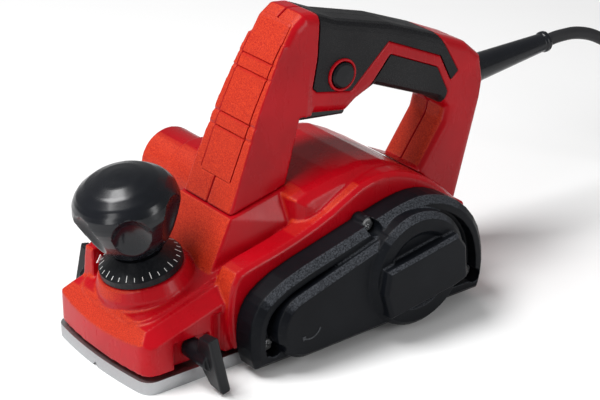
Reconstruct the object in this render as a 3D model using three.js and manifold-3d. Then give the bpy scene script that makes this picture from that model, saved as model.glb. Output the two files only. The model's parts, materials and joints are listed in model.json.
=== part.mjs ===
// An electric hand planer: a D-handled machine with a belt-driven cutter drum, an adjustable front shoe
// and a chip port. Millimetres, +X towards the front knob, +Y to the belt side (left), +Z up.
// The sole is the plane z = 0, and the origin is on its centreline, under the motor.
import * as THREE from "three";
import { mergeVertices } from "three/addons/utils/BufferGeometryUtils.js";
import { ConvexGeometry } from "three/addons/geometries/ConvexGeometry.js";
import Module from "manifold-3d";

const wasm = await Module();
wasm.setup();

// ---------------------------------------------------------------- driving dimensions
const GAP = 0.3; // clearance that touching pieces keep
const PLANING_WIDTH = 82;
const NOSE_X = 150; // front tip of the sole
const TAIL_X = -66; // rear end of the sole
const SHOE_TOP = 6.8; // thickness of both shoes
const NOSE_BOTTOM = 9; // underside of the nose, above the front shoe
const WALL = 2.6; // moulded wall thickness

const DRUM = { x: 68, z: 25.2, r: 22.6, sweep: 25.4, half: 40.4 }; // cutter drum; sweep clears the blades
const MOUTH = { front: 81.6, rear: 54.5 }; // opening in the sole
const MOTOR = { x: 0, z: 34, r: 23.4, bore: 14.3 }; // motor axis, field stack and its bore
// Sloping top of the nose: where its chamfers start, and the plan of its raised middle.
const DECK = { x: 128, z: 35.2, slope: 0.294, ridge: 33, side: 40, raised: 29.5, corner: 14, end: 141.6 };
const DIAL = { x: 120.2, z: 49.5, r: 20.9, tilt: THREE.MathUtils.degToRad(12) }; // depth dial's rim
const PORT = { x: 53, z: 59.4, r: 17.3, bore: 15, seat: -41.6, end: -75 }; // chip port
const FLANGE = 45; // face of the housing that the belt cover stands on, along Y
const BEARING = { r: 11, bore: 4, width: 6 }; // ball bearings of drum and motor
const PULLEY = { motor: 7.5, drum: 11, y0: 48.6, y1: 57.6, belt: 2 }; // belt drive, along Y
const HANDLE_HALF = 15.5; // half width of the D handle
const STRUT = { half: 21.2, edge: 2.5 }; // front strut: half width at its foot, edge chamfer
const BUTTON = { x: 8.6, z: 123.8, r: 6.6 }; // lock-off button
const BOLT = { x: 117.5, z: 17, stud: 3, hub: 5.2 }; // wing bolts that hold guide and stop
const CORD = { d: 7, x: -146.5, z: 101.5 }; // cord, and where it leaves its strain relief

// ---------------------------------------------------------------- materials
const finish = (color, roughness, metalness = 0) =>
  new THREE.MeshStandardMaterial({ color, roughness, metalness });
const RED = finish(0xb00012, 0.35);
const BLACK = finish(0x141518, 0.45);
const SOFT = finish(0x17181a, 0.75);
const ALUMINIUM = finish(0xb4b6b8, 0.4, 0.9);
const STEEL = finish(0x9a9da0, 0.3, 1);
const ZINC = finish(0xc2c4c6, 0.3, 1);
const COPPER = finish(0xb06a3a, 0.35, 1);
const LAMINATION = finish(0x6d7074, 0.5, 0.9);
const CARBON = finish(0x2a2a2c, 0.7);
const WHITE = finish(0xe8e8e6, 0.5);
const CABLE = finish(0x121214, 0.7);

// ---------------------------------------------------------------- solids
// A closed geometry as a manifold solid, facing out, without slivers of no area.
function solid(geometry) {
  const plain = geometry.index ? geometry.toNonIndexed() : geometry.clone();
  plain.deleteAttribute("normal");
  plain.deleteAttribute("uv");
  const merged = mergeVertices(plain, 1e-3);
  const source = merged.index.array;
  const kept = [];
  for (let i = 0; i < source.length; i += 3) {
    const [a, b, c] = [source[i], source[i + 1], source[i + 2]];
    if (a !== b && b !== c && c !== a) kept.push(a, b, c);
  }
  const make = (triangles) =>
    new wasm.Manifold(
      new wasm.Mesh({
        numProp: 3,
        vertProperties: merged.attributes.position.array,
        triVerts: new Uint32Array(triangles),
      }),
    );
  const made = make(kept);
  if (made.volume() > 0) return made;
  for (let i = 0; i < kept.length; i += 3) [kept[i], kept[i + 1]] = [kept[i + 1], kept[i]];
  return make(kept);
}

function geometryOf(made) {
  const mesh = made.getMesh();
  const position = new Float32Array(mesh.numVert * 3);
  for (let i = 0; i < mesh.numVert; i++) {
    position.set(mesh.vertProperties.subarray(i * mesh.numProp, i * mesh.numProp + 3), i * 3);
  }
  const geometry = new THREE.BufferGeometry();
  geometry.setAttribute("position", new THREE.BufferAttribute(position, 3));
  geometry.setIndex(new THREE.BufferAttribute(new Uint32Array(mesh.triVerts), 1));
  geometry.computeVertexNormals();
  return geometry;
}

const union = (...parts) => parts.reduce((a, b) => a.add(b));
const cut = (a, ...tools) => tools.reduce((left, tool) => left.subtract(tool), a);

const outline = (points) => new THREE.Shape(points.map(([x, y]) => new THREE.Vector2(x, y)));

// The outline with its shallow corners cut once, so that a row of points reads as a curve.
function softened(points, limit = 0.75) {
  const n = points.length;
  return points.flatMap(([x, y], i) => {
    const before = points[(i + n - 1) % n];
    const after = points[(i + 1) % n];
    const turn = Math.atan2(after[1] - y, after[0] - x) - Math.atan2(y - before[1], x - before[0]);
    if (Math.abs(Math.atan2(Math.sin(turn), Math.cos(turn))) > limit) return [[x, y]];
    return [before, after].map(([u, v]) => [x + (u - x) / 4, y + (v - y) / 4]);
  });
}

// The rounded outline of a belt or cover around two circles, from one centre to the other.
function pill(a, ra, b, rb, steps = 14) {
  const angle = Math.atan2(b.z - a.z, b.x - a.x);
  const lean = Math.acos((ra - rb) / Math.hypot(b.x - a.x, b.z - a.z));
  const arc = (c, r, from, to) =>
    Array.from({ length: steps + 1 }, (_, i) => {
      const t = from + ((to - from) * i) / steps;
      return [c.x + r * Math.cos(t), c.z + r * Math.sin(t)];
    });
  return [
    ...arc(b, rb, angle - lean, angle + lean),
    ...arc(a, ra, angle + lean, angle + 2 * Math.PI - lean),
  ];
}

// An (x, z) outline carried along Y from y0 to y1, its edges rounded or chamfered by bevel.
function alongY(shape, y0, y1, bevel = 0, bevelSegments = 2) {
  const geometry = new THREE.ExtrudeGeometry(shape, {
    depth: y1 - y0 - 2 * bevel, bevelEnabled: bevel > 0, bevelThickness: bevel, bevelSize: bevel,
    bevelOffset: -bevel, bevelSegments, curveSegments: 10,
  });
  return solid(geometry.rotateX(Math.PI / 2).translate(0, y1 - bevel, 0));
}

// An (x, y) outline carried up from z0 to z1.
function alongZ(shape, z0, z1) {
  const geometry = new THREE.ExtrudeGeometry(shape, {
    depth: z1 - z0, bevelEnabled: false, curveSegments: 10,
  });
  return solid(geometry.translate(0, 0, z0));
}

function box(x0, x1, y0, y1, z0, z1) {
  return solid(new THREE.BoxGeometry(x1 - x0, y1 - y0, z1 - z0)
    .translate((x0 + x1) / 2, (y0 + y1) / 2, (z0 + z1) / 2));
}

function rodY(x, z, r, y0, y1, segments = 32) {
  return solid(new THREE.CylinderGeometry(r, r, y1 - y0, segments).translate(x, (y0 + y1) / 2, z));
}

function rodZ(x, y, r, z0, z1, segments = 24) {
  return solid(new THREE.CylinderGeometry(r, r, z1 - z0, segments)
    .rotateX(Math.PI / 2).translate(x, y, (z0 + z1) / 2));
}

// A turned piece about the Y axis line through (x, z): profile points are [radius, y].
function turnedY(x, z, profile, segments = 32) {
  const points = profile.map(([r, y]) => new THREE.Vector2(r, y));
  return solid(new THREE.LatheGeometry(points, segments).translate(x, 0, z));
}

// A turned piece about the dial's tilted axis: profile points are [radius, height above the rim].
function turnedOnDial(profile, segments = 40) {
  const points = profile.map(([r, h]) => new THREE.Vector2(r, h));
  return solid(onDial(new THREE.LatheGeometry(points, segments)));
}

// Carries a geometry built about +Y, at the dial's centre, to the dial's tilted axis.
function onDial(geometry) {
  return geometry.rotateX(Math.PI / 2).rotateY(DIAL.tilt).translate(DIAL.x, 0, DIAL.z);
}

const convex = (points) =>
  solid(new ConvexGeometry(points.map(([x, y, z]) => new THREE.Vector3(x, y, z))));

const planer = new THREE.Group();

// Adds one named piece; crumbs that a cut leaves beside the piece are dropped.
function add(name, made, material) {
  const [largest] = made.decompose().sort((a, b) => b.volume() - a.volume());
  const mesh = new THREE.Mesh(geometryOf(largest.simplify(0.02)), material);
  mesh.name = name;
  planer.add(mesh);
}

// ---------------------------------------------------------------- shoes
// Plan outline of the sole, inset all round: bowed front edge and rounded corners.
function solePlan(x0, inset = 0) {
  const half = PLANING_WIDTH / 2 - inset;
  const tip = NOSE_X - inset;
  const bow = 5;
  const corner = 7;
  const shape = new THREE.Shape();
  shape.moveTo(x0, -half);
  shape.lineTo(tip - bow - corner, -half);
  shape.quadraticCurveTo(tip - bow, -half, tip - bow + 1, -half + corner);
  shape.quadraticCurveTo(tip + 0.9, 0, tip - bow + 1, half - corner);
  shape.quadraticCurveTo(tip - bow, half, tip - bow - corner, half);
  shape.lineTo(x0, half);
  shape.closePath();
  return shape;
}

// The room that both shoes leave for the turning blades.
const drumSweep = () => rodY(DRUM.x, DRUM.z, DRUM.sweep, -60, 60, 48);

// Front shoe: plate with a V groove for edges, and the guide post that the spindle is fixed in.
function frontShoe() {
  const vGroove = convex([
    [MOUTH.front - 1, -3, -0.5], [MOUTH.front - 1, 3, -0.5], [MOUTH.front - 1, 0, 2.4],
    [NOSE_X + 2, -3, -0.5], [NOSE_X + 2, 3, -0.5], [NOSE_X + 2, 0, 2.4],
  ]);
  const post = solid(onDial(new THREE.CylinderGeometry(9, 9, 20, 28).translate(0, -36, 0)));
  const socket = solid(onDial(new THREE.CylinderGeometry(4, 4, 40, 24).translate(0, -18, 0)));
  const plate = union(alongZ(solePlan(MOUTH.front), 0, SHOE_TOP), post);
  return cut(plate, vGroove, socket, drumSweep());
}

function rearShoe() {
  const plate = alongZ(
    outline([
      [TAIL_X + 1.5, -38], [TAIL_X, -34], [TAIL_X, 34], [TAIL_X + 1.5, 38], [TAIL_X + 6, 41],
      [MOUTH.rear, 41], [MOUTH.rear, -41], [TAIL_X + 6, -41],
    ]), 0, SHOE_TOP);
  const holes = SHOE_SCREWS.map(([x, y]) => rodZ(x, y, 2.3, -1, 8, 16));
  const sinks = SHOE_SCREWS.map(([x, y]) => rodZ(x, y, 4.8, -1, 3.2, 20));
  return cut(plate, drumSweep(), ...holes, ...sinks);
}
const SHOE_SCREWS = [[34, 0], [-54, 0]];

// ---------------------------------------------------------------- body housing
const deckZ = (x) => DECK.z + DECK.slope * (DECK.x - x);

const HUMP = [
  [52, 8], [52, 74], [44, 77], [26, 80.5], [8, 82], [-5, 79.5], [-16, 74], [-29, 66], [-45, 55],
  [-55, 45], [-62, 24], [TAIL_X, 8],
];
const FLANGE_OUTLINE = [
  [84, 8], [85.5, 10.6], [96.3, 10.6], [99, 18], [99.5, 30], [97.5, 45], [94.5, 51], [88, 53.2],
  [64.4, 58], [41.7, 65.6],
  [28, 72.6], [15.6, 78], [-0.4, 79.2], [-16.2, 73.6], [-28, 66.6], [-40, 56], [-49, 43],
  [-53.5, 30], [-56, 8],
];
const DECK_STEP = 1.6; // height of the raised middle of the deck
const STRUT_FOOT = { front: 82, rear: 46, half: 21.5 };

// Top block of the nose: bowed in plan, chamfered along its sides, with a raised middle.
function noseBlock() {
  const side = (drop) => alongY(outline([
    [NOSE_X - 0.5, NOSE_BOTTOM], [NOSE_X - 2.5, 22.5], [NOSE_X - 10, deckZ(NOSE_X - 10) - drop],
    [45, deckZ(45) - drop], [45, NOSE_BOTTOM],
  ]), -DECK.side, DECK.side);
  const plan = alongZ(solePlan(30, 1), 0, 90);
  const chamfer = DECK.side - DECK.ridge;
  const section = [-1, 1].flatMap((s) => [
    [s * DECK.side, -60], [s * DECK.side, -chamfer * 1.15], [s * DECK.ridge, -DECK_STEP + 0.01],
  ]);
  const prism = convex([NOSE_X + 10, 20].flatMap((x) =>
    section.map(([y, z]) => [x, y, z + deckZ(x)])));
  const { raised, corner, end } = DECK;
  const platform = new THREE.Shape();
  platform.moveTo(45, -raised);
  platform.lineTo(end - corner, -raised);
  platform.quadraticCurveTo(end, -raised, end, -raised + corner);
  platform.lineTo(end, raised - corner);
  platform.quadraticCurveTo(end, raised, end - corner, raised);
  platform.lineTo(45, raised);
  platform.closePath();
  const top = side(0).intersect(alongZ(platform, NOSE_BOTTOM, 90));
  return union(side(DECK_STEP).intersect(plan).intersect(prism), top);
}

function bodyOuter() {
  const foot = convex([
    ...[-1, 1].flatMap((s) => [
      [98, s * 25, deckZ(98) - 2], [41, s * 31, deckZ(41) - 2], [98, s * 25, 20], [41, s * 31, 20],
      [STRUT_FOOT.front, s * STRUT_FOOT.half, 68], [STRUT_FOOT.rear, s * STRUT_FOOT.half, 76],
    ]),
  ]);
  const hump = union(
    alongY(outline(HUMP), -38, 38, 9, 3),
    alongY(outline(HUMP.map(([x, z]) => [x, Math.min(z, 46)])), -38, 38));
  const flange = alongY(outline(softened(FLANGE_OUTLINE)), 30, FLANGE, 2, 1);
  const drumWall = alongY(outline([
    [46, 12], [92, 12], [97, 18], [97, 40], [90, 50], [60, 60], [40, 60], [40, 12],
  ]), -44, -34, 1.5, 1);
  const bearingBosses = union(
    rodY(DRUM.x, DRUM.z, 13.6, -48.4, -40, 32), rodY(DRUM.x, DRUM.z, 13.2, 40, 48.2, 32));
  const rim = turnedOnDial([[0, -14], [24.5, -14], [24.5, -9.5], [22, -3.4], [0, -3.4]]);
  const pointerBlock = convex([
    [112, -35, 30], [133, -33.5, 30], [133, -24, 30], [112, -24, 30],
    [113, -33, 52], [132, -32, 48.5], [132, -25, 48.5], [113, -25, 52],
  ]);
  const portSocket = rodY(PORT.x, PORT.z, PORT.r + 2.4, -50, -21.5, 36);
  return union(noseBlock(), foot, hump, flange, drumWall, bearingBosses, rim, pointerBlock, portSocket);
}

function bodyHousing() {
  const chamber = union(
    rodY(DRUM.x, DRUM.z, 26.6, -41, 41, 40),
    box(MOUTH.rear - 0.5, MOUTH.front + 2, -41.2, 41.2, 0, 16));
  const duct = union(
    rodY(PORT.x, PORT.z, PORT.bore, -52, 8, 32),
    rodY(PORT.x, PORT.z, PORT.r + GAP, -52, PORT.seat + GAP, 36),
    box(PORT.x - 12, PORT.x + 14, -20, 8, 42, PORT.z));
  const motorRoom = rodY(MOTOR.x, MOTOR.z, MOTOR.r + GAP, -50, 31, 40);
  const upperRoom = alongY(
    outline([[24, 50], [24, 77], [8, 78.5], [-5, 76], [-28, 63], [-40, 50]]), -34, 30);
  const noseRoom = solid(onDial(new THREE.CylinderGeometry(13, 13, 44, 32).translate(0, -30, 0)));
  const spindleHole = solid(onDial(new THREE.CylinderGeometry(6, 6, 30, 24)));
  const seat = BEARING.r + GAP;
  const drumSeats = union(
    rodY(DRUM.x, DRUM.z, seat, -40.5 - BEARING.width - 2 * GAP, -40, 32),
    rodY(DRUM.x, DRUM.z, seat, 40, 49, 32));
  const motorSeat = union(
    rodY(MOTOR.x, MOTOR.z, seat, FLANGE - BEARING.width - 1, 50, 32),
    rodY(MOTOR.x, MOTOR.z, 6, 20, 50, 24));
  const boltHoles = rodY(BOLT.x, BOLT.z, BOLT.stud + GAP, -60, 60, 20);
  const sideRecess = [-1, 1].map((s) => convex([NOSE_BOTTOM - 2, 23].flatMap((z) => [
    [108.5, s * 36.5, z], [128, s * 36.5, z], [107.5, s * 44, z], [129, s * 44, z],
  ])));
  const ribGap = [-1, 1].map((s) => box(99.6, 106, s > 0 ? 38 : -50, s > 0 ? 50 : -38, 0, 31));
  const capSeat = rodY(MOTOR.x, MOTOR.z, 30, -50, -35.6, 40).intersect(
    box(-60, 60, -50, 0, CAP_FLOOR - GAP, 100));
  const screwHoles = [...SHOE_SCREWS.map(([x, y]) => rodZ(x, y, 2.3, 5, 20, 12)),
    ...COVER_SCREWS.map(([x, z]) => rodY(x, z, 1.8, 42, 50, 12))];
  return cut(bodyOuter(), chamber, duct, motorRoom, upperRoom, noseRoom, spindleHole, drumSeats,
    motorSeat, boltHoles, capSeat, ...sideRecess, ...ribGap, ...screwHoles);
}
const COVER_SCREWS = [[84, 14], [22, 60], [-44, 14]];
const CAP_FLOOR = 9.8; // flat underside of the motor cap, above the rear shoe

// ---------------------------------------------------------------- D handle
const HANDLE_OUTER = [
  [93, 36.6], [80.4, 70.3], [61, 115], [48, 139.5], [38.5, 154.5], [31, 159.5], [24, 158.6], [10, 152.5],
  [-25, 142.5], [-55, 130.5], [-76, 121], [-86, 112], [-88.5, 98], [-87, 88], [-66, 14],
];
const HANDLE_LOOP = [
  [48, 72], [36, 108], [4.5, 102.5], [-2, 107], [-14, 112], [-33, 104], [-56, 94.5], [-62, 88],
  [-60, 81], [-44, 59], [-30, 66], [-14, 75], [0, 80.5], [12, 82], [30, 79.5],
];
// Where the handle ends on top of the body: everything under this line is cut away.
const SEAT = [
  [96, 67.9], [STRUT_FOOT.front, 68.3], [STRUT_FOOT.rear, 76.3], [31, 80.4], [8, 82.4],
  [-5, 79.9], [-16, 74.4], [-29, 66.4], [-45, 55.4], [-55.2, 45.3], [-62, 34], [-76, 34],
  [-76, 0], [96, 0],
];
const GRIP_MASK = [
  [21, 170], [23.5, 135], [26.5, 120.5], [24, 118], [2.5, 113.5], [-21.5, 134.4], [-56.5, 118.5],
  [-64, 103.5], [-69, 107.5], [-53.5, 134], [-48, 170],
];
const LOWER_MASK = [[-2, 90], [-2, 104], [-23, 127.2], [-54.6, 112.8], [-62, 98], [-58, 84]];
const TRIM_MASK = [
  [73.5, 82], [84, 82], [66, 118], [53, 144], [44, 157], [36, 157], [42, 147], [57, 114],
];
const RUBBER = 1.8; // depth of the soft grips
const TRIM = { depth: 1.8, half: 12, groove: 0.9, at: [102.6, 109.2, 130.5, 137] }; // strip on the strut
const HANDLE_SCREWS = [[49, 122], [-38, 121], [-64, 62]];

// A closed outline drawn in by a margin (out, where it is negative); the points run either way round.
function drawnIn(points, margin) {
  const n = points.length;
  const area = points.reduce((sum, [x, y], i) => {
    const [u, v] = points[(i + 1) % n];
    return sum + x * v - u * y;
  }, 0);
  const side = Math.sign(area);
  return points.map(([x, y], i) => {
    const before = points[(i + n - 1) % n];
    const after = points[(i + 1) % n];
    const a = new THREE.Vector2(x - before[0], y - before[1]).normalize();
    const b = new THREE.Vector2(after[0] - x, after[1] - y).normalize();
    const inward = new THREE.Vector2(-a.y - b.y, a.x + b.x).normalize();
    const reach = (margin * side) / Math.max(0.35, inward.dot(new THREE.Vector2(-a.y, a.x)));
    return [x + inward.x * reach, y + inward.y * reach];
  });
}

// The handle's body drawn in by a margin on every side, with soft edges. Its front strut widens
// towards the foot, where it is as wide as this wedge.
function handleForm(margin, bevel, segments = 3) {
  const shape = outline(drawnIn(HANDLE_OUTER, margin));
  shape.holes.push(outline(drawnIn(HANDLE_LOOP, -margin)));
  const half = HANDLE_HALF - margin;
  const wide = alongY(shape, -STRUT.half + margin, STRUT.half - margin, Math.min(bevel, STRUT.edge), 1);
  const wedge = convex([-1, 1].flatMap((side) => [
    [100, side * (STRUT.half - margin), 56], [40, side * (STRUT.half - margin), 56],
    [100, side * (half - 0.9), 146], [26, side * (half - 0.4), 112], [26, side * (half - 0.9), 146],
  ]));
  return union(alongY(shape, -half, half, bevel, segments), wide.intersect(wedge));
}

const maskOf = (points, margin = 0) => alongY(outline(drawnIn(points, margin)), -40, 40);
const belowSeat = () => alongY(outline(SEAT), -32, 32);
const triggerSlot = () => box(-3, 34, -6.9, 6.9, 90, 119);
const gapY = (y0, y1) => box(-130, 120, y0, y1, 0, 200);

// A cylinder along the cord's line through the handle's tail, from x0 to x1.
const CORD_RISE = Math.atan2(CORD.z - 97.5, -88 - CORD.x);
function onCord(geometry) {
  return geometry.rotateZ(Math.PI / 2).rotateY(CORD_RISE).translate(CORD.x, 0, CORD.z);
}
function cordRod(r, x0, x1, segments = 28) {
  const geometry = new THREE.CylinderGeometry(r, r, x1 - x0, segments);
  return solid(onCord(geometry.translate(0, CORD.x - (x0 + x1) / 2, 0)));
}

// Two pairs of shallow grooves across the front of the strut.
function strutGrooves() {
  return TRIM.at.map((z) => {
    const i = HANDLE_OUTER.findIndex((point) => point[1] > z);
    const [[x0, z0], [x1, z1]] = [HANDLE_OUTER[i - 1], HANDLE_OUTER[i]];
    const x = x0 + ((x1 - x0) * (z - z0)) / (z1 - z0);
    return solid(new THREE.BoxGeometry(2 * TRIM.groove, 60, 1.1).rotateY(0.4).translate(x, 0, z));
  });
}

function handleShells(outer, core) {
  const pockets = cut(outer, core).intersect(union(maskOf(GRIP_MASK), maskOf(LOWER_MASK)));
  const trimPocket = cut(maskOf(TRIM_MASK, -GAP), handleForm(TRIM.depth + GAP, 5, 3)).intersect(
    gapY(-TRIM.half - GAP, TRIM.half + GAP));
  const room = handleForm(RUBBER + WALL, 3, 1);
  const cordWay = cordRod(9.3, -110, -70);
  const buttonHole = rodY(BUTTON.x, BUTTON.z, BUTTON.r + GAP, 5, 30, 28);
  const bosses = HANDLE_SCREWS.map(([x, z]) =>
    rodY(x, z, 4, -HANDLE_HALF + 3.4, HANDLE_HALF - 3.4, 20));
  const bores = HANDLE_SCREWS.flatMap(([x, z]) =>
    [rodY(x, z, 1.9, -20, 11, 16), rodY(x, z, 3.6, -20, -HANDLE_HALF + 4, 20)]);
  const solidShell = union(cut(outer, room, pockets), ...bosses);
  return cut(solidShell, trimPocket, pockets, cordWay, buttonHole, triggerSlot(), ...bores);
}

function buildHandle() {
  const outer = cut(handleForm(0, 5, 3), belowSeat(), ...strutGrooves());
  const core = handleForm(RUBBER, 4, 3);
  const shells = handleShells(outer, core);
  add("handle_left", shells.intersect(gapY(GAP / 2, 60)), RED);
  add("handle_right", shells.intersect(gapY(-60, -GAP / 2)), RED);
  const skin = cut(outer, handleForm(RUBBER - GAP, 4, 3), triggerSlot(),
    rodY(BUTTON.x, BUTTON.z, BUTTON.r + 2, 5, 30, 28));
  const grip = skin.intersect(maskOf(GRIP_MASK, GAP));
  add("grip_left", grip.intersect(gapY(GAP / 2, 60)), SOFT);
  add("grip_right", grip.intersect(gapY(-60, -GAP / 2)), SOFT);
  add("lower_grip", skin.intersect(maskOf(LOWER_MASK, GAP)), SOFT);
  const trim = cut(outer, handleForm(TRIM.depth, 5, 3)).intersect(maskOf(TRIM_MASK));
  add("strut_trim", trim.intersect(gapY(-TRIM.half, TRIM.half)), RED);
}

// ---------------------------------------------------------------- depth knob
function buildKnob() {
  const head = [
    [4, -16], [5.6, -16], [5.6, 6.9], [10.6, 6.9], [13.4, 8.4], [17, 12], [20.2, 17], [23, 22.6],
    [25.4, 28.6], [26.5, 33.4], [25.6, 38], [22.4, 42.6], [17.4, 46.2], [11, 48.7], [5, 49.8], [0, 50],
    [0, 30], [4, 30], [4, -16],
  ];
  const scallops = Array.from({ length: 6 }, (_, i) => {
    const bite = new THREE.SphereGeometry(9.5, 12, 8).translate(29.5, 21, 0);
    return solid(onDial(bite.rotateY((i * Math.PI) / 3)));
  });
  add("depth_knob", cut(turnedOnDial(head, 36), ...scallops), BLACK);
  add("depth_dial", turnedOnDial([
    [6, -2.9], [DIAL.r, -2.9], [DIAL.r, 0.2], [12.6, 6.5], [6, 6.5], [6, -2.9],
  ], 40), BLACK);
  add("depth_spindle", turnedOnDial([[0, -37.6], [3.7, -37.6], [3.7, 26], [0, 26]], 20), STEEL);
  add("dial_pointer", convex([-24.4, -24.9].flatMap((y) => [
    [128.5, y + 1.2, 45.4], [131, y + 1.2, 41.5], [126, y + 1.2, 41.5],
  ])), WHITE);
}

// ---------------------------------------------------------------- wing bolts
function buildWingBolt(side, name) {
  const span = (a, b) => (side > 0 ? [a, b] : [-b, -a]);
  const rod = (r, a, b, n) => rodY(BOLT.x, BOLT.z, r, ...span(a, b), n);
  add(`bolt_stud_${name}`, rod(BOLT.stud, 24, 46, 20), STEEL);
  const blade = new THREE.ExtrudeGeometry(outline([
    [-6, 49], [6, 49], [13.4, 53], [15, 61.5], [-15, 61.5], [-13.4, 53],
  ]), { depth: 4, bevelEnabled: true, bevelThickness: 0.8, bevelSize: 0.8, bevelSegments: 1 });
  const wing = blade.translate(0, 0, -2).rotateY(-Math.PI / 2 + 0.22);
  if (side < 0) wing.rotateZ(Math.PI);
  const hub = rod(BOLT.hub, 36.8, 56, 24);
  const bore = rod(BOLT.stud + GAP, 20, 46 + GAP, 20);
  const bladeSolid = solid(wing.translate(BOLT.x, 0, BOLT.z));
  add(`wing_bolt_${name}`, cut(union(hub, bladeSolid), bore), BLACK);
}

// ---------------------------------------------------------------- belt drive and cutter drum
function buildDrive() {
  const r = PULLEY.belt + GAP;
  const belt = cut(
    alongY(outline(pill(MOTOR, PULLEY.motor + r, DRUM, PULLEY.drum + r)), 49.1, 57.1),
    alongY(outline(pill(MOTOR, PULLEY.motor + GAP, DRUM, PULLEY.drum + GAP)), 40, 60));
  add("drive_belt", belt, SOFT);
  const pulley = (at, radius) => turnedY(at.x, at.z, [
    [4, PULLEY.y0], [radius, PULLEY.y0], [radius, PULLEY.y1], [4, PULLEY.y1], [4, PULLEY.y0],
  ], 32);
  add("motor_pulley", pulley(MOTOR, PULLEY.motor), STEEL);
  add("drum_pulley", pulley(DRUM, PULLEY.drum), ALUMINIUM);
  const bearing = (at, y) => turnedY(at.x, at.z, [
    [BEARING.bore, y], [6.4, y], [6.4, y + 0.6], [9, y + 0.6], [9, y], [BEARING.r, y],
    [BEARING.r, y + BEARING.width], [BEARING.bore, y + BEARING.width], [BEARING.bore, y],
  ], 24);
  add("drum_bearing_left", bearing(DRUM, 41.4), STEEL);
  add("drum_bearing_right", bearing(DRUM, -41 - BEARING.width), STEEL);
  add("motor_bearing_left", bearing(MOTOR, 38.6), STEEL);
  add("motor_bearing_right", bearing(MOTOR, -40.4), STEEL);
}

function buildDrum() {
  const h = DRUM.half;
  const body = turnedY(DRUM.x, DRUM.z, [
    [0, -47], [3.7, -47], [3.7, -h - 0.5], [9, -h], [DRUM.r - 1, -h], [DRUM.r, -h + 1],
    [DRUM.r, h - 1], [DRUM.r - 1, h], [9, h], [3.7, h + 0.5], [3.7, 57.6], [0, 57.6],
  ], 48);
  const turned = (geometry, i) => solid(geometry.rotateY(i * Math.PI).translate(DRUM.x, 0, DRUM.z));
  // A box in the slot's own frame: its place along the slot's floor and up from its middle.
  const inSlot = (size, along, up, i) => turned(
    new THREE.BoxGeometry(...size).translate(along, 0, up).rotateY(0.35).translate(17.5, 0, 10), i);
  const slots = [0, 1].map((i) => inSlot([12, 100, 9], 0, 0, i));
  add("cutter_drum", cut(body, ...slots), ALUMINIUM);
  ["a", "b"].forEach((name, i) => {
    add(`blade_${name}`, inSlot([7.4, 81, 1.1], -1.6, 3.6, i), ZINC);
    add(`blade_clamp_${name}`, inSlot([6.2, 79, 6.4], -2.3, -0.6, i), STEEL);
  });
}

// ---------------------------------------------------------------- motor
const ringAt = (r0, r1, y0, y1, n = 36) =>
  turnedY(MOTOR.x, MOTOR.z, [[r0, y0], [r1, y0], [r1, y1], [r0, y1], [r0, y0]], n);

// A box at a radius from the motor's axis, turned about it.
function spoke(size, radius, y, angle) {
  return solid(new THREE.BoxGeometry(...size).translate(radius, y, 0).rotateY(angle)
    .translate(MOTOR.x, 0, MOTOR.z));
}

function buildMotor() {
  add("motor_shaft", turnedY(MOTOR.x, MOTOR.z, [
    [0, -40.6], [3.7, -40.6], [3.7, 57.6], [0, 57.6],
  ], 24), STEEL);
  const slots = 12;
  const around = (make) => Array.from({ length: slots }, (_, i) => make((i * 2 * Math.PI) / slots));
  add("armature_core", cut(ringAt(4, 13.6, -13, 19),
    ...around((a) => spoke([5, 40, 3], 11.2, 3, a))), LAMINATION);
  add("armature_winding", union(
    ringAt(4, 12.4, -18, -13.4, 16), ringAt(4, 12.4, 19.4, 23, 16),
    ...around((a) => spoke([3.8, 38, 2.3], 10.9, 3, a))), COPPER);
  add("commutator", cut(ringAt(4, 10, -29, -18.4, 24),
    ...around((a) => spoke([2, 9.4, 0.5], 10, -24.6, a))), COPPER);
  const blades = Array.from({ length: 9 }, (_, i) =>
    spoke([12, 6, 1.4], 14.5, 27, (i * 2 * Math.PI) / 9 + 0.1));
  add("motor_fan", union(ringAt(4, 22, 23.4, 24.8), ringAt(4, 8, 24, 29.6, 24), ...blades), BLACK);
  const wedge = (s) => convex([-60, 60].flatMap((y) => [
    [MOTOR.x, y, MOTOR.z], [MOTOR.x + 34, y, MOTOR.z + s * 12], [MOTOR.x - 34, y, MOTOR.z + s * 12],
    [MOTOR.x + 30, y, MOTOR.z + s * 34], [MOTOR.x - 30, y, MOTOR.z + s * 34],
  ]));
  const recess = (s) => ringAt(MOTOR.bore, 20, -30, 40).intersect(wedge(s));
  add("field_core", cut(ringAt(MOTOR.bore, MOTOR.r, -12, 18), recess(1), recess(-1)), LAMINATION);
  const coil = (s) => ringAt(15.2, 19.6, -16, 22).intersect(wedge(s));
  const inset = (s) => box(-12, 12, -60, 60, MOTOR.z + (s > 0 ? 6 : -40), MOTOR.z + (s > 0 ? 40 : -6));
  add("field_coil_upper", coil(1).intersect(inset(1)), COPPER);
  add("field_coil_lower", coil(-1).intersect(inset(-1)), COPPER);
  add("brush_front", spoke([9, 5, 4], 15, -24, 0), CARBON);
  add("brush_rear", spoke([9, 5, 4], -15, -24, 0), CARBON);
  const vents = Array.from({ length: 8 }, (_, i) => spoke([9, 10, 3.4], 20.5, -43, (i * Math.PI) / 4));
  add("motor_cap", cut(turnedY(MOTOR.x, MOTOR.z, [
    [0, -44.5], [28.4, -44.5], [29.6, -43.3], [29.6, -35.9], [27, -35.9], [27, -41.5],
    [14, -41.5], [14, -34], [BEARING.r + GAP, -34], [BEARING.r + GAP, -41], [0, -41],
  ], 40), ...vents).intersect(box(-60, 60, -60, 0, CAP_FLOOR, 100)), RED);
}

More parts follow.
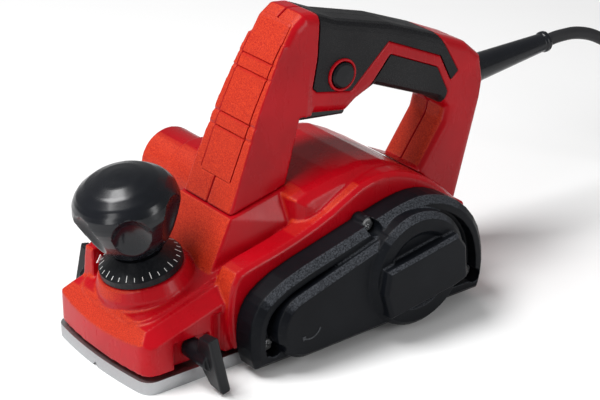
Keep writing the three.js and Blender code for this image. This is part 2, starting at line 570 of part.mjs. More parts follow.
// ---------------------------------------------------------------- belt cover
const COVER_OUTLINE = [
  [93.5, 4.5], [96.3, 12], [96.3, 27], [92.5, 36.5], [86.6, 42.4], [72.3, 49.3], [37.1, 58.3],
  [14, 64.6], [0.8, 67.4], [-11.6, 68], [-24.4, 64.4], [-37.6, 56], [-47.3, 43.6], [-51.4, 30],
  [-52.2, 16.3], [-49, 4.5],
];
const COVER = { base: FLANGE + GAP, skirt: 57, floor: 54, face: 66, boss: 69, bar: 74.5, chamfer: 3.5 };

function buildCover() {
  const layer = (points, y0, y1, bevel) => alongY(outline(points), y0, y1, bevel, 1);
  const rim = softened(COVER_OUTLINE);
  const skirt = union(
    alongY(outline(rim), COVER.base, COVER.skirt),
    layer(rim, COVER.skirt - 8, COVER.skirt + COVER.chamfer, COVER.chamfer));
  const groove = alongY(outline(drawnIn(rim, 7)), COVER.floor, 80);
  const plateau = layer(pill(MOTOR, 26.5, { x: 67, z: 23.5 }, 17.4, 20), 50, COVER.face, 3);
  const boss = turnedY(MOTOR.x, MOTOR.z, [
    [0, 50], [30.5, 50], [30.5, COVER.boss - 3], [27.5, COVER.boss], [21, COVER.boss],
    [19, COVER.boss - 2.2], [0, COVER.boss - 2.2],
  ], 48);
  const bar = layer([
    [24.6, 42], [-20.3, 50], [-26, 42], [-27.4, 24], [-20, 21.5], [22.3, 15.4], [26.6, 30],
  ], 60, COVER.bar, 1.6);
  const cavity = union(
    alongY(outline(drawnIn(COVER_OUTLINE, 2.6)), 40, COVER.floor - 2.6),
    alongY(outline(pill(MOTOR, 12, DRUM, 13.9)), 40, COVER.face - 6));
  const posts = COVER_SCREWS.map(([x, z]) => rodY(x, z, 4.2, COVER.base, COVER.floor));
  const bores = COVER_SCREWS.map(([x, z]) =>
    union(rodY(x, z, 1.9, 40, 70, 12), rodY(x, z, 3.9, COVER.floor - 2.4, 80, 16)));
  add("belt_cover", cut(union(cut(union(cut(skirt, groove), plateau, boss, bar), cavity),
    ...posts), ...bores), BLACK);
}

// ---------------------------------------------------------------- chip port, switch and trigger
function buildControls() {
  add("chip_port", turnedY(PORT.x, PORT.z, [
    [PORT.bore, PORT.seat], [PORT.bore, PORT.end + 0.5], [PORT.bore + 0.5, PORT.end],
    [PORT.r - 0.4, PORT.end], [PORT.r, PORT.end + 0.4], [PORT.r, PORT.seat], [PORT.bore, PORT.seat],
  ], 40), RED);
  add("trigger", union(
    alongY(outline([[32.6, 113.5], [33.2, 104], [31.5, 101], [0, 97.4], [-1.2, 99], [-0.9, 113.5]]),
      -6.4, 6.4, 1, 1),
    rodY(31, 112, 2.6, -6.4, 6.4, 20)), BLACK);
  add("switch_body", box(-10, 24, -8, 8, 119.6, 133), BLACK);
  add("lock_button", turnedY(BUTTON.x, BUTTON.z, [
    [0, 11.6], [BUTTON.r, 11.6], [BUTTON.r, HANDLE_HALF + 1.6], [BUTTON.r - 1, HANDLE_HALF + 2.4],
    [0, HANDLE_HALF + 2.8],
  ], 28), BLACK);
}

// ---------------------------------------------------------------- screws
// A headed screw along Y from its tip at y: out is +1 where the head faces +Y, -1 where it faces -Y.
function panScrew(x, z, y, out, r, length) {
  const profile = [
    [0, 0], [1.5, 1], [1.5, length], [r, length], [r, length + 1.4], [r - 0.8, length + 2.2],
    [0, length + 2.2],
  ];
  const geometry = new THREE.LatheGeometry(profile.map(([a, b]) => new THREE.Vector2(a, b)), 14);
  if (out < 0) geometry.rotateX(Math.PI);
  const cross = [[3.6, 0.9], [0.9, 3.6]].map(([a, b]) =>
    solid(new THREE.BoxGeometry(a, 2.4, b).translate(x, y + out * (length + 2.2), z)));
  return cut(solid(geometry.translate(x, y, z)), ...cross);
}

function buildScrews() {
  COVER_SCREWS.forEach(([x, z], i) =>
    add(`cover_screw_${i + 1}`, panScrew(x, z, COVER.floor - 11.1, 1, 3.5, 9), ZINC));
  HANDLE_SCREWS.slice(0, 3).forEach(([x, z], i) =>
    add(`handle_screw_${i + 1}`, panScrew(x, z, 9.2, -1, 3.2, 21), ZINC));
  SHOE_SCREWS.forEach(([x, y], i) => {
    const turned = new THREE.LatheGeometry([
      [0, 17], [1.8, 16], [1.8, 2.7], [4.4, 2.7], [4.4, 0.6], [0, 0.6],
    ].map(([r, h]) => new THREE.Vector2(r, h)), 16).rotateX(Math.PI / 2).translate(x, y, 0);
    const slot = box(x - 2.6, x + 2.6, y - 0.5, y + 0.5, 0, 1.6);
    add(`shoe_screw_${i + 1}`, cut(solid(turned), slot), ZINC);
  });
}

// ---------------------------------------------------------------- mains lead
const COIL = { x: -286, y: 30, inner: 31.3, outer: 45.8, top: 28.2, mid: 38.5 };
const PLUG = { x: -332.3, y: 80.4, z: 13, flat: 0.76, pin: 9.5 };

// The lead's route: out of its relief and down to the coil's top turn; and from the coil to the plug.
const LEAD = [
  [-146.9, 0, 101.5], [-158, 0, 102], [-172, 0, 100.4], [-187, 1, 94.5], [-200, 3, 85],
  [-210.5, 6, 72.5], [-218, 9.5, 58.5], [-224.5, 14, 46], [-232, 20, 37.5], [-240, 27, 33],
];
const TAIL = [
  [-286, 80.4, 3.9], [-296, 80.4, 4.2], [-306, 80.4, 6.4], [-315, 80.4, 9.8], [-323, 80.4, 12.4],
  [-332, 80.4, 13],
];

// A round tube along a curve through the points.
function tube(points, steps) {
  const curve = new THREE.CatmullRomCurve3(
    points.map(([x, y, z]) => new THREE.Vector3(x, y, z)), false, "centripetal");
  const section = new THREE.Shape().absarc(0, 0, CORD.d / 2, 0, 2 * Math.PI);
  return solid(new THREE.ExtrudeGeometry(section, {
    steps, bevelEnabled: false, extrudePath: curve, curveSegments: 4,
  }));
}

function buildCord() {
  const relief = new THREE.LatheGeometry([
    [0, 0], [5.6, 0], [5.9, 0.8], [5.9, 3], [5, 3.6], [5.2, 5], [7.6, 50], [8.4, 58], [8.4, 62.5],
    [7.2, 63], [7.2, 66], [9, 66.5], [9, 73], [0, 73],
  ].map(([r, h]) => new THREE.Vector2(r, h)), 24);
  add("strain_relief", solid(onCord(relief.rotateX(Math.PI))), SOFT);
  add("cord_lead", tube(LEAD, 16), CABLE);
  const ring = new THREE.LatheGeometry([
    [COIL.inner, 0.3], [COIL.outer, 0.3], [COIL.outer, COIL.top - 7], [COIL.mid + 3.8, COIL.top],
    [COIL.mid - 3.8, COIL.top], [COIL.inner, COIL.top - 7], [COIL.inner, 0.3],
  ].map(([r, h]) => new THREE.Vector2(r, h)), 36);
  add("cord_coil", solid(ring.rotateX(Math.PI / 2).translate(COIL.x, COIL.y, 0)), CABLE);
  add("cord_tail", tube(TAIL, 8), CABLE);
  const onPlug = (geometry) => geometry.rotateZ(Math.PI / 2).translate(PLUG.x, PLUG.y, PLUG.z);
  const body = new THREE.LatheGeometry([
    [0, 0], [4.6, 0], [5.6, 14], [10.5, 19], [13.5, 24], [16, 30], [16, 39], [14.6, 40], [0, 40],
  ].map(([r, h]) => new THREE.Vector2(r, h)), 28).scale(1, 1, PLUG.flat);
  const pinHoles = [-1, 1].map((side) =>
    solid(onPlug(new THREE.CylinderGeometry(2.7, 2.7, 12, 14).translate(side * PLUG.pin, 36, 0))));
  add("plug", cut(solid(onPlug(body)), ...pinHoles), SOFT);
  [["left", 1], ["right", -1]].forEach(([name, side]) => {
    const pin = new THREE.LatheGeometry([
      [0, 30.3], [2.4, 30.3], [2.4, 57], [1.4, 59], [0, 59],
    ].map(([r, h]) => new THREE.Vector2(r, h)), 14);
    add(`plug_pin_${name}`, solid(onPlug(pin.translate(side * PLUG.pin, 0, 0))), ZINC);
  });
}

buildHandle();
add("front_shoe", frontShoe(), ALUMINIUM);
add("rear_shoe", rearShoe(), ALUMINIUM);
add("body_housing", bodyHousing(), RED);
buildKnob();
buildWingBolt(1, "left");
buildWingBolt(-1, "right");
buildDrive();
buildDrum();
buildMotor();
buildCover();
buildControls();
buildScrews();
buildCord();

export default planer;
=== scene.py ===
"""Studio scene of an electric hand planer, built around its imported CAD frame. Metres, +X forwards, +Z up."""

import json
import math

import bmesh
import bpy
from mathutils import Matrix, Vector


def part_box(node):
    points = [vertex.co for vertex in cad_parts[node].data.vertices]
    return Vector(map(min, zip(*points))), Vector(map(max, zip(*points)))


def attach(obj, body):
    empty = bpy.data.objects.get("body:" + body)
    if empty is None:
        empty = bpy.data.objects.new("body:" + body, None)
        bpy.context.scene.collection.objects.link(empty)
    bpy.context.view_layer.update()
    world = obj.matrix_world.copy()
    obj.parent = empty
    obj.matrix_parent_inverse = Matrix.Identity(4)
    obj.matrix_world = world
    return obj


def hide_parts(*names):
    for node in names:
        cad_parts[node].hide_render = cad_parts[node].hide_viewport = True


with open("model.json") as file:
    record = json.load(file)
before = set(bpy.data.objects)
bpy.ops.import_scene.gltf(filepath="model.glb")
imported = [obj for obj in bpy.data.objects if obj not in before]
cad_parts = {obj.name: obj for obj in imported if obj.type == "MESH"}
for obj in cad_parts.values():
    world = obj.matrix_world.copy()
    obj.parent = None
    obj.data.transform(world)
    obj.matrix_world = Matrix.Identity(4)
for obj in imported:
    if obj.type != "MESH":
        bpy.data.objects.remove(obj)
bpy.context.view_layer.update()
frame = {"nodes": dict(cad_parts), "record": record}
MM = 0.001
HOUSING = "housing_group"


# ---------------------------------------------------------------- camera
CAMERA = {"place": (0.5847, 0.7347, 0.4888), "azimuth": 142.59, "elevation": 25.2, "lens": 120}


def build_camera():
    data = bpy.data.cameras.new("camera")
    data.lens = CAMERA["lens"]
    data.sensor_width = 36
    camera = bpy.data.objects.new("camera", data)
    bpy.context.scene.collection.objects.link(camera)
    azimuth, elevation = math.radians(CAMERA["azimuth"]), math.radians(CAMERA["elevation"])
    back = Vector((math.sin(azimuth) * math.cos(elevation), -math.cos(azimuth) * math.cos(elevation),
                   math.sin(elevation)))
    right = Vector((math.cos(azimuth), math.sin(azimuth), 0))
    up = back.cross(right)
    turn = Matrix((right, up, back)).transposed()
    camera.matrix_world = Matrix.Translation(CAMERA["place"]) @ turn.to_4x4()
    bpy.context.scene.camera = camera


# ---------------------------------------------------------------- materials
class Nodes:
    """A node material with one Principled shader and helpers for noise, ramps and bumps."""

    def __init__(self, name):
        self.material = bpy.data.materials.new(name)
        self.material.use_nodes = True
        self.tree = self.material.node_tree
        self.shader = self.tree.nodes["Principled BSDF"]
        self.place = self.tree.nodes.new("ShaderNodeTexCoord").outputs["Object"]

    def new(self, kind, **settings):
        node = self.tree.nodes.new(kind)
        for key, value in settings.items():
            setattr(node, key, value)
        return node

    def link(self, source, target):
        self.tree.links.new(source, target)

    def stretched(self, scale):
        mapping = self.new("ShaderNodeMapping")
        mapping.inputs["Scale"].default_value = scale
        self.link(self.place, mapping.inputs["Vector"])
        return mapping.outputs["Vector"]

    def noise(self, scale, detail=3.0, roughness=0.55, vector=None):
        node = self.new("ShaderNodeTexNoise")
        node.inputs["Scale"].default_value = scale
        node.inputs["Detail"].default_value = detail
        node.inputs["Roughness"].default_value = roughness
        self.link(vector or self.place, node.inputs["Vector"])
        return node.outputs["Fac"]

    def spots(self, scale, randomness=1.0):
        node = self.new("ShaderNodeTexVoronoi")
        node.inputs["Scale"].default_value = scale
        node.inputs["Randomness"].default_value = randomness
        self.link(self.place, node.inputs["Vector"])
        return node.outputs["Distance"]

    def spread(self, value, low, high, to_low=0.0, to_high=1.0):
        node = self.new("ShaderNodeMapRange")
        for name, number in zip(("From Min", "From Max", "To Min", "To Max"),
                                (low, high, to_low, to_high)):
            node.inputs[name].default_value = number
        self.link(value, node.inputs["Value"])
        return node.outputs["Result"]

    def math(self, operation, a, b=None):
        node = self.new("ShaderNodeMath", operation=operation)
        for i, value in enumerate((a, b)):
            if isinstance(value, (int, float)):
                node.inputs[i].default_value = value
            elif value is not None:
                self.link(value, node.inputs[i])
        return node.outputs[0]

    def blend(self, factor, low, high):
        node = self.new("ShaderNodeMix", data_type="RGBA")
        self.link(factor, node.inputs["Factor"])
        for socket, colour in ((node.inputs[6], low), (node.inputs[7], high)):
            if isinstance(colour, (tuple, list)):
                socket.default_value = (*colour[:3], 1)
            else:
                self.link(colour, socket)
        return node.outputs[2]

    def bump(self, height, strength, distance, below=None):
        node = self.new("ShaderNodeBump")
        node.inputs["Strength"].default_value = strength
        node.inputs["Distance"].default_value = distance
        self.link(height, node.inputs["Height"])
        if below is not None:
            self.link(below, node.inputs["Normal"])
        return node.outputs["Normal"]

    def edge_highlight(self):
        """Painted highlight along convex edges, from the geometry's pointiness, broken up by noise."""
        geometry = self.new("ShaderNodeNewGeometry")
        edge_glint = self.spread(geometry.outputs["Pointiness"], 0.52, 0.60, 0, 1)
        return self.math("MULTIPLY", edge_glint, self.spread(self.noise(900, 2), 0.4, 0.7))

    def finish(self, colour, roughness, normal=None):
        self.link(colour, self.shader.inputs["Base Color"])
        self.link(roughness, self.shader.inputs["Roughness"])
        if normal is not None:
            self.link(normal, self.shader.inputs["Normal"])
        return self.material


def plastic(name, dark, light, rough, grain=2600, relief=0.06, coat=0.0, sheen=0.3):
    """Moulded plastic: slight colour drift, handling marks in the gloss and a fine moulded grain."""
    n = Nodes(name)
    drift = n.spread(n.noise(22, 4), 0.35, 0.7)
    colour = n.blend(drift, dark, light)
    # painted highlight: convex edges are blended towards a lighter colour
    edge_highlight_colour = [min(1.0, c * 1.25 + 0.012) for c in light]
    colour = n.blend(n.math("MULTIPLY", n.edge_highlight(), 0.35), colour, edge_highlight_colour)
    smear = n.noise(60, 5, 0.65, n.stretched((1, 1, 0.35)))
    gloss = n.spread(smear, 0.3, 0.75, rough - 0.05, rough + 0.08)
    fine = n.bump(n.noise(grain, 2), relief, 0.00012)
    material = n.finish(colour, gloss, fine)
    n.shader.inputs["Coat Weight"].default_value = coat
    n.shader.inputs["Coat Roughness"].default_value = 0.12
    n.shader.inputs["Specular IOR Level"].default_value = sheen
    return material


def speckled(name, dark, light, rough, grain=1500, relief=0.5, sheen=0.3):
    """Spark-eroded plastic: a fine, even, matt speckle."""
    n = Nodes(name)
    n.shader.inputs["Specular IOR Level"].default_value = sheen
    speckle = n.noise(grain, 4, 0.7)
    colour = n.blend(n.spread(speckle, 0.36, 0.66), dark, light)
    gloss = n.spread(n.noise(35, 3), 0.3, 0.7, rough - 0.04, rough + 0.06)
    return n.finish(colour, gloss, n.bump(speckle, relief, 0.00022))


def stippled(name, dark, light, rough, pitch=1000, relief=0.7):
    """Soft rubber with a stipple of small raised dots."""
    n = Nodes(name)
    n.shader.inputs["Specular IOR Level"].default_value = 0.25
    dots = n.spots(pitch, 0.55)
    raised = n.spread(dots, 0.15, 0.55, 1, 0)
    colour = n.blend(n.math("MULTIPLY", raised, n.spread(n.noise(30), 0.3, 0.7)), dark, light)
    gloss = n.spread(n.noise(45, 3), 0.3, 0.7, rough - 0.06, rough + 0.06)
    return n.finish(colour, gloss, n.bump(raised, relief, 0.00018))


def metal(name, dark, light, rough, stretch=(1, 1, 1), scale=500, relief=0.12):
    """Machined metal with brushed lines."""
    n = Nodes(name)
    lines = n.noise(scale, 5, 0.65, n.stretched(stretch))
    colour = n.blend(n.spread(lines, 0.3, 0.7), dark, light)
    gloss = n.spread(lines, 0.25, 0.75, rough - 0.07, rough + 0.1)
    material = n.finish(colour, gloss, n.bump(lines, relief, 0.00008))
    n.shader.inputs["Metallic"].default_value = 1.0
    return material


def lit_side_finish(name, lit_direction, band, smooth, lit_textured, rough, grain, relief, sheen=0.3):
    """Moulded shell, spark-eroded where it faces a direction and painted lighter there as painted light on
    that side; band is the range of the cosine.
    """
    n = Nodes(name)
    n.shader.inputs["Specular IOR Level"].default_value = sheen
    normal = n.new("ShaderNodeTexCoord").outputs["Normal"]
    lit_direction_dot = n.new("ShaderNodeVectorMath", operation="DOT_PRODUCT")
    lit_direction_dot.inputs[1].default_value = Vector(lit_direction).normalized()
    n.link(normal, lit_direction_dot.inputs[0])
    # painted light: faces turned towards the given direction get the lighter colours
    lit_mask = n.spread(lit_direction_dot.outputs["Value"], *band)
    speckle = n.noise(grain, 4, 0.7)
    drift = n.spread(n.noise(22, 4), 0.35, 0.7)
    # painted highlight: convex edges of the plain shell are blended towards a lighter colour
    plain = n.blend(n.math("MULTIPLY", n.edge_highlight(), 0.35), n.blend(drift, *smooth),
                    [min(1.0, c * 1.3 + 0.015) for c in smooth[1]])
    lit_speckle_skin = n.blend(n.spread(speckle, 0.36, 0.66), *lit_textured)
    # painted light over a real speckled grain: the lit faces take the lighter speckled colour
    colour = n.blend(lit_mask, plain, lit_speckle_skin)
    smear = n.spread(n.noise(60, 5, 0.65, n.stretched((1, 1, 0.35))), 0.3, 0.75, -0.05, 0.08)
    gloss = n.math("ADD", n.spread(lit_mask, 0, 1, *rough), smear)
    height = n.math("MULTIPLY", n.math("ADD", lit_mask, 0.08), speckle)
    return n.finish(colour, gloss, n.bump(height, relief, 0.00022))


RED_DARK, RED_LIGHT = (0.32, 0.0010, 0.005), (0.44, 0.0018, 0.008)
MATERIALS = {
    # painted light: faces turned up and forwards are painted orange, over a real speckled grain
    "red_plastic": lit_side_finish("red_plastic", (0.8, 0, 0.6), (0.80, 0.90), (RED_DARK, RED_LIGHT),
                              ((0.32, 0.006, 0.004), (0.62, 0.05, 0.013)), (0.27, 0.5), 1500, 0.5, 0.2),
    "red_gloss": plastic("red_gloss", RED_DARK, RED_LIGHT, 0.26, sheen=0.22),
    "black_plastic": plastic("black_plastic", (0.003, 0.0035, 0.005), (0.006, 0.007, 0.009), 0.34,
                             sheen=0.22),
    "black_gloss": plastic("black_gloss", (0.003, 0.004, 0.006), (0.006, 0.007, 0.010), 0.24, coat=0.1),
    # painted highlight: up-facing chamfers are painted lighter grey, over a real speckled grain
    "cover_black": lit_side_finish("cover_black", (0, 0.6, 0.8), (0.80, 0.90),
                              ((0.002, 0.0025, 0.004), (0.005, 0.006, 0.008)),
                              ((0.004, 0.0045, 0.006), (0.06, 0.065, 0.075)), (0.42, 0.5), 1300, 0.6, 0.1),
    "black_texture": speckled("black_texture", (0.006, 0.007, 0.009), (0.05, 0.055, 0.062), 0.55, 1700, 0.5),
    "soft_grip": stippled("soft_grip", (0.002, 0.002, 0.003), (0.012, 0.013, 0.015), 0.5),
    "cast_aluminium": metal("cast_aluminium", (0.30, 0.31, 0.32), (0.52, 0.53, 0.54), 0.38, (30, 1, 30)),
    "steel": metal("steel", (0.38, 0.39, 0.40), (0.58, 0.59, 0.60), 0.3, (1, 25, 1)),
    "zinc_screw": metal("zinc_screw", (0.48, 0.49, 0.50), (0.70, 0.70, 0.70), 0.3, scale=900),
    "blade_steel": metal("blade_steel", (0.5, 0.5, 0.52), (0.75, 0.76, 0.78), 0.22, (30, 1, 30)),
    "copper": metal("copper", (0.42, 0.16, 0.07), (0.66, 0.30, 0.16), 0.35, (1, 40, 1), 900),
    "lamination": metal("lamination", (0.22, 0.23, 0.25), (0.40, 0.41, 0.43), 0.45, (1, 60, 1), 900),
    "carbon": speckled("carbon", (0.01, 0.01, 0.01), (0.03, 0.03, 0.03), 0.7),
    "white_mark": plastic("white_mark", (0.75, 0.75, 0.74), (0.86, 0.86, 0.85), 0.45),
    "cable": plastic("cable", (0.010, 0.010, 0.012), (0.018, 0.018, 0.020), 0.5, 900, 0.1),
}


# ---------------------------------------------------------------- mesh helpers
def new_object(name, mesh, material, body=HOUSING):
    piece = bpy.data.objects.new(name, mesh)
    bpy.context.scene.collection.objects.link(piece)
    mesh.materials.clear()
    mesh.materials.append(MATERIALS[material])
    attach(piece, body)
    return piece


def lathe(name, profile, axis, origin, material, body, steps=96, form=None):
    """Turns a profile of (radius, height) in mm about an axis; form may change the radius with the angle."""
    bm = bmesh.new()
    rings = []
    for radius, height in profile:
        if radius < 1e-6:
            rings.append([bm.verts.new((0, 0, height * MM))])
            continue
        ring = []
        for i in range(steps):
            angle = 2 * math.pi * i / steps
            r = form(radius, height, angle) if form else radius
            ring.append(bm.verts.new((r * MM * math.cos(angle), r * MM * math.sin(angle), height * MM)))
        rings.append(ring)
    for low, high in zip(rings, rings[1:]):
        for i in range(steps):
            j = (i + 1) % steps
            ring = [low[i % len(low)], low[j % len(low)], high[j % len(high)], high[i % len(high)]]
            corners = list(dict.fromkeys(ring))
            if len(corners) > 2:
                bm.faces.new(corners)
    bmesh.ops.recalc_face_normals(bm, faces=bm.faces)
    mesh = bpy.data.meshes.new(name)
    bm.to_mesh(mesh)
    bm.free()
    turn = Vector((0, 0, 1)).rotation_difference(Vector(axis)).to_matrix().to_4x4()
    mesh.transform(Matrix.Translation(Vector(origin)) @ turn)
    piece = new_object(name, mesh, material, body)
    shade(piece)
    return piece


def shade(piece, angle=35):
    """Smooth shading that keeps edges sharper than the angle."""
    piece.data.shade_smooth()
    bm = bmesh.new()
    bm.from_mesh(piece.data)
    limit = math.radians(angle)
    for edge in bm.edges:
        edge.smooth = not (len(edge.link_faces) == 2 and edge.calc_face_angle(0) > limit)
    bm.to_mesh(piece.data)
    bm.free()


def bevelled(piece, width=0.4, segments=3, angle=35):
    bevel = piece.modifiers.new("bevel", "BEVEL")
    bevel.width = width * MM
    bevel.segments = segments
    bevel.limit_method = "ANGLE"
    bevel.angle_limit = math.radians(angle)
    bevel.harden_normals = True
    return piece


def moulded(piece, voxel=0.7, smoothing=4, keep=0.35):
    """Softens every edge of a solid, as a moulding has it."""
    remesh = piece.modifiers.new("remesh", "REMESH")
    remesh.mode = "VOXEL"
    remesh.voxel_size = voxel * MM
    remesh.use_smooth_shade = True
    smooth = piece.modifiers.new("smooth", "SMOOTH")
    smooth.factor = 0.5
    smooth.iterations = smoothing
    thin = piece.modifiers.new("thin", "DECIMATE")
    thin.ratio = keep
    return piece


# ---------------------------------------------------------------- mains lead
CORD_R = 3.5
LEAD = [
    (-146.9, 0, 101.5), (-158, 0, 102), (-172, 0, 100.4), (-187, 1, 94.5), (-200, 3, 85),
    (-210.5, 6, 72.5), (-218, 9.5, 58.5), (-224.5, 14, 46), (-232, 20, 37.5), (-240, 27, 33),
]
TAIL = [
    (-286, 80.4, 3.9), (-296, 80.4, 4.2), (-306, 80.4, 6.4), (-315, 80.4, 9.8), (-323, 80.4, 12.4),
    (-332, 80.4, 13),
]
COIL_CENTRE = (-286, 30)
COIL_COLUMNS = (42.1, 35.0)
COIL_LAYERS = (24.8, 17.8, 10.8, 3.8)


def coil_points():
    """Turns wound from the top layer down: every 328 degrees the cord steps one column or layer on."""
    stations = [(0, 0), (1, 0), (1, 1), (0, 1), (0, 2), (1, 2), (1, 3), (0, 3)]
    first_step, step_every, step_length, last = 300, 328, 30, 2548
    points = [(10, 44.6, 31.4), (25, 42.8, 28.6), (40, 42.1, 26.0)]
    angle = 56
    while angle <= last:
        k = min(7, max(0, math.floor((angle - first_step) / step_every) + 1))
        into = (angle - first_step - (k - 1) * step_every) / step_length if k else 1
        t = min(1.0, max(0.0, into))
        t = t * t * (3 - 2 * t)
        (c0, l0), (c1, l1) = stations[max(0, k - 1)], stations[k]
        radius = COIL_COLUMNS[c0] * (1 - t) + COIL_COLUMNS[c1] * t
        height = COIL_LAYERS[l0] * (1 - t) + COIL_LAYERS[l1] * t
        points.append((angle, radius, height))
        angle += 14
    points += [(2568, 42.4, 3.8), (2582, 44.4, 3.8), (2596, 47.6, 3.8)]
    cx, cy = COIL_CENTRE
    return [(cx + r * math.cos(math.radians(a)), cy + r * math.sin(math.radians(a)), z)
            for a, r, z in points]


def build_cord():
    route = LEAD + coil_points() + TAIL
    curve = bpy.data.curves.new("mains_cord", "CURVE")
    curve.dimensions = "3D"
    curve.bevel_depth = CORD_R * MM
    curve.bevel_resolution = 5
    curve.resolution_u = 6
    curve.use_fill_caps = True
    spline = curve.splines.new("BEZIER")
    spline.bezier_points.add(len(route) - 1)
    for point, place in zip(spline.bezier_points, route):
        point.co = Vector(place) * MM
        point.handle_left_type = point.handle_right_type = "AUTO"
    cord = bpy.data.objects.new("mains_cord", curve)
    bpy.context.scene.collection.objects.link(cord)
    curve.materials.append(MATERIALS["cable"])
    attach(cord, HOUSING)
    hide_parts("cord_lead", "cord_coil", "cord_tail")
    bpy.context.view_layer.update()


# ---------------------------------------------------------------- carried-over CAD nodes
def dress_nodes():
    slots = {row["node"]: row["material_slot"] for row in frame["record"]["subparts"]}
    for name, node in frame["nodes"].items():
        if node.hide_render:
            continue
        node.data.materials.clear()
        node.data.materials.append(MATERIALS[FINISH.get(name, slots[name])])
        if name in MOULDED:
            moulded(node, *MOULDED[name])
        else:
            bevelled(node)


FINISH = {"belt_cover": "cover_black", "trigger": "black_gloss", "strain_relief": "black_gloss"}
MOULDED = {
    "body_housing": (0.7, 5, 0.4), "handle_left": (0.6, 5, 0.4), "handle_right": (0.6, 5, 0.4),
    "belt_cover": (0.45, 2, 0.4), "chip_port": (0.5, 3, 0.5),
    "wing_bolt_left": (0.4, 4, 0.5), "wing_bolt_right": (0.4, 4, 0.5), "plug": (0.5, 4, 0.5),
    "strain_relief": (0.5, 3, 0.5), "trigger": (0.4, 4, 0.5), "motor_cap": (0.5, 3, 0.5),
}


# ---------------------------------------------------------------- depth knob and dial
DIAL_TILT = math.radians(12)
DIAL_AXIS = Vector((math.sin(DIAL_TILT), 0, math.cos(DIAL_TILT)))
DIAL_ORIGIN = Vector((120.2, 0, 49.5)) * MM
BITES = 6
BITE_EDGE = 0.6  # rounding where a bite meets the turned surface, in mm
BITE = {"out": 30.5, "wide": 12.6, "tall": 19, "up": 21}  # ellipsoid that scoops each finger bite, in mm


def knob_radius(radius, height, angle):
    """The turned radius in mm, scooped by the nearest finger bite."""
    step = 2 * math.pi / BITES
    off = (angle + step / 2) % step - step / 2
    reach = 1 - ((height - BITE["up"]) / BITE["tall"]) ** 2
    if reach <= 0:
        return radius
    wide = BITE["wide"] ** 2 * reach - (BITE["out"] * math.sin(off)) ** 2
    if wide <= 0:
        return radius
    scooped = BITE["out"] * math.cos(off) - math.sqrt(wide)
    overlap = max(BITE_EDGE - abs(radius - scooped), 0) / BITE_EDGE
    return min(radius, scooped) - overlap ** 2 * BITE_EDGE / 4


def build_knob():
    outline = [(5.6, 4), (5.6, 7), (10.6, 7.2), (13.4, 8.6), (17, 12.2), (20.2, 17), (23, 22.6), (25.4, 28.6),
               (26.3, 31.5), (26.4, 33.6), (25.6, 37.6), (24.2, 40.2), (22.4, 42.4), (17.4, 46), (11, 48.5),
               (5, 49.6), (0, 49.9)]
    profile = []
    for (r0, z0), (r1, z1) in zip(outline, outline[1:]):
        profile += [(r0 + (r1 - r0) * i / 5, z0 + (z1 - z0) * i / 5) for i in range(5)]
    profile.append(outline[-1])
    knob = lathe("scooped_knob", profile, DIAL_AXIS, DIAL_ORIGIN, "black_gloss", "knob_group",
                 steps=240, form=knob_radius)
    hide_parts("depth_knob")


def build_ticks():
    """Fine scale lines on the dial's cone, a long one every third."""
    bm = bmesh.new()
    foot, crown = Vector((20.9, 0.2)), Vector((12.6, 6.5))
    along = (crown - foot).normalized()
    out = Vector((-along.y, along.x)) * -1
    for i in range(30):
        length = 3.4 if i % 3 == 0 else 2.1
        angle = math.radians(12 * i)
        corners = []
        for run, lift in ((0.9, -0.05), (0.9, 0.09), (0.9 + length, 0.09), (0.9 + length, -0.05)):
            spot = foot + along * run + out * lift
            for side in (-0.16, 0.16):
                corners.append(bm.verts.new((
                    (spot.x * math.cos(angle) - side * math.sin(angle)) * MM,
                    (spot.x * math.sin(angle) + side * math.cos(angle)) * MM, spot.y * MM)))
        for quad in ((0, 1, 3, 2), (2, 3, 5, 4), (4, 5, 7, 6), (6, 7, 1, 0), (0, 2, 4, 6), (1, 7, 5, 3)):
            bm.faces.new([corners[k] for k in quad])
    bmesh.ops.recalc_face_normals(bm, faces=bm.faces)
    mesh = bpy.data.meshes.new("dial_ticks")
    bm.to_mesh(mesh)
    bm.free()
    turn = Vector((0, 0, 1)).rotation_difference(DIAL_AXIS).to_matrix().to_4x4()
    mesh.transform(Matrix.Translation(DIAL_ORIGIN) @ turn)
    new_object("dial_ticks", mesh, "white_mark", "knob_group")


# ---------------------------------------------------------------- details on the shells
def strip(name, outline, low, high, material, body=HOUSING):
    """A closed (x, z) outline in mm, raised from y = low to y = high."""
    bm = bmesh.new()
    rings = [[bm.verts.new((x * MM, y * MM, z * MM)) for x, z in outline] for y in (low, high)]
    bm.faces.new(rings[0])
    bm.faces.new(rings[1])
    for i in range(len(outline)):
        j = (i + 1) % len(outline)
        bm.faces.new((rings[0][i], rings[0][j], rings[1][j], rings[1][i]))
    bmesh.ops.recalc_face_normals(bm, faces=bm.faces)
    mesh = bpy.data.meshes.new(name)
    bm.to_mesh(mesh)
    bm.free()
    return bevelled(new_object(name, mesh, material, body), 0.06, 2)


def build_turn_arrow():
    """Small raised arrow on the belt cover that shows which way the drum turns."""
    cx, cz, inner, outer = 67, 23.5, 6.2, 7.0
    arc = [math.radians(a) for a in range(200, 301, 10)]
    outline = [(cx + outer * math.cos(a), cz + outer * math.sin(a)) for a in arc]
    tip = math.radians(318)
    outline.append((cx + (outer + 1.1) * math.cos(arc[-1]), cz + (outer + 1.1) * math.sin(arc[-1])))
    outline.append((cx + 6.6 * math.cos(tip), cz + 6.6 * math.sin(tip)))
    outline.append((cx + (inner - 1.1) * math.cos(arc[-1]), cz + (inner - 1.1) * math.sin(arc[-1])))
    outline += [(cx + inner * math.cos(a), cz + inner * math.sin(a)) for a in reversed(arc)]
    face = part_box("belt_cover")[1][1] / MM - 8.5
    strip("turn_arrow", outline, face - 0.1, face + 0.2, "black_texture")


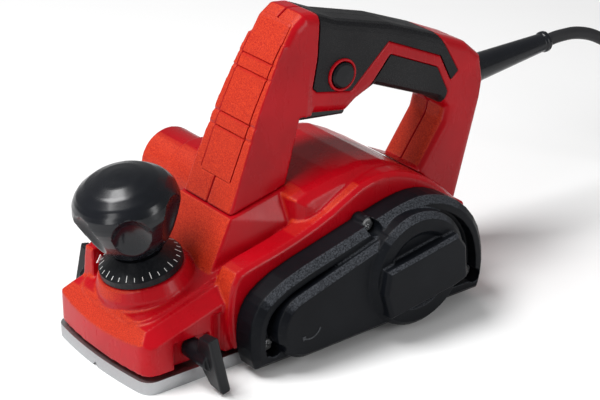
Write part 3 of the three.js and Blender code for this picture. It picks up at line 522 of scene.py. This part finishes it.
def build_button_ring():
    low, high = (Vector(v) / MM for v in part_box("lock_button"))
    radius = (high.x - low.x) / 2
    centre = Vector(((low.x + high.x) / 2, 0, (low.z + high.z) / 2)) * MM
    profile = [(radius + 0.5, 13.5), (radius + 0.5, 16.3), (radius + 0.9, 16.7), (radius + 1.5, 16.7),
               (radius + 1.9, 16.3), (radius + 1.9, 13.5), (radius + 0.5, 13.5)]
    lathe("button_ring", profile, (0, 1, 0), centre, "red_gloss", HOUSING, 64)


# ---------------------------------------------------------------- stage
def area_light(name, place, target, size, power, colour=(1, 1, 1)):
    data = bpy.data.lights.new(name, "AREA")
    data.shape = "RECTANGLE"
    data.size, data.size_y = size
    data.energy = power
    data.color = colour
    light = bpy.data.objects.new(name, data)
    light.location = place
    light.rotation_euler = (Vector(target) - Vector(place)).to_track_quat("-Z", "Y").to_euler()
    bpy.context.scene.collection.objects.link(light)


def build_stage():
    bm = bmesh.new()
    bmesh.ops.create_grid(bm, x_segments=8, y_segments=8, size=6)
    mesh = bpy.data.meshes.new("floor")
    bm.to_mesh(mesh)
    bm.free()
    floor = bpy.data.objects.new("floor", mesh)
    bpy.context.scene.collection.objects.link(floor)
    paper = Nodes("paper")
    tone = paper.spread(paper.noise(3), 0, 1)
    paper.finish(paper.blend(tone, (0.86, 0.86, 0.86), (0.9, 0.9, 0.9)), paper.spread(tone, 0, 1, 0.75, 0.85))
    floor.data.materials.append(paper.material)
    world = bpy.data.worlds.new("studio")
    world.use_nodes = True
    world.node_tree.nodes["Background"].inputs["Color"].default_value = (1, 1, 1, 1)
    world.node_tree.nodes["Background"].inputs["Strength"].default_value = 0.28
    bpy.context.scene.world = world
    area_light("key", (0.55, -0.25, 1.25), (0.02, 0, 0.06), (0.6, 0.6), 20)
    area_light("side", (-0.55, 1.5, 0.55), (0, 0, 0.05), (0.35, 1.1), 8)
    area_light("front", (1.5, 0.45, 0.6), (0.05, 0, 0.06), (0.4, 0.9), 7)
    bpy.context.scene.view_settings.view_transform = "Standard"


build_camera()
build_cord()
build_stage()
build_knob()
build_ticks()
build_turn_arrow()
build_button_ring()
dress_nodes()
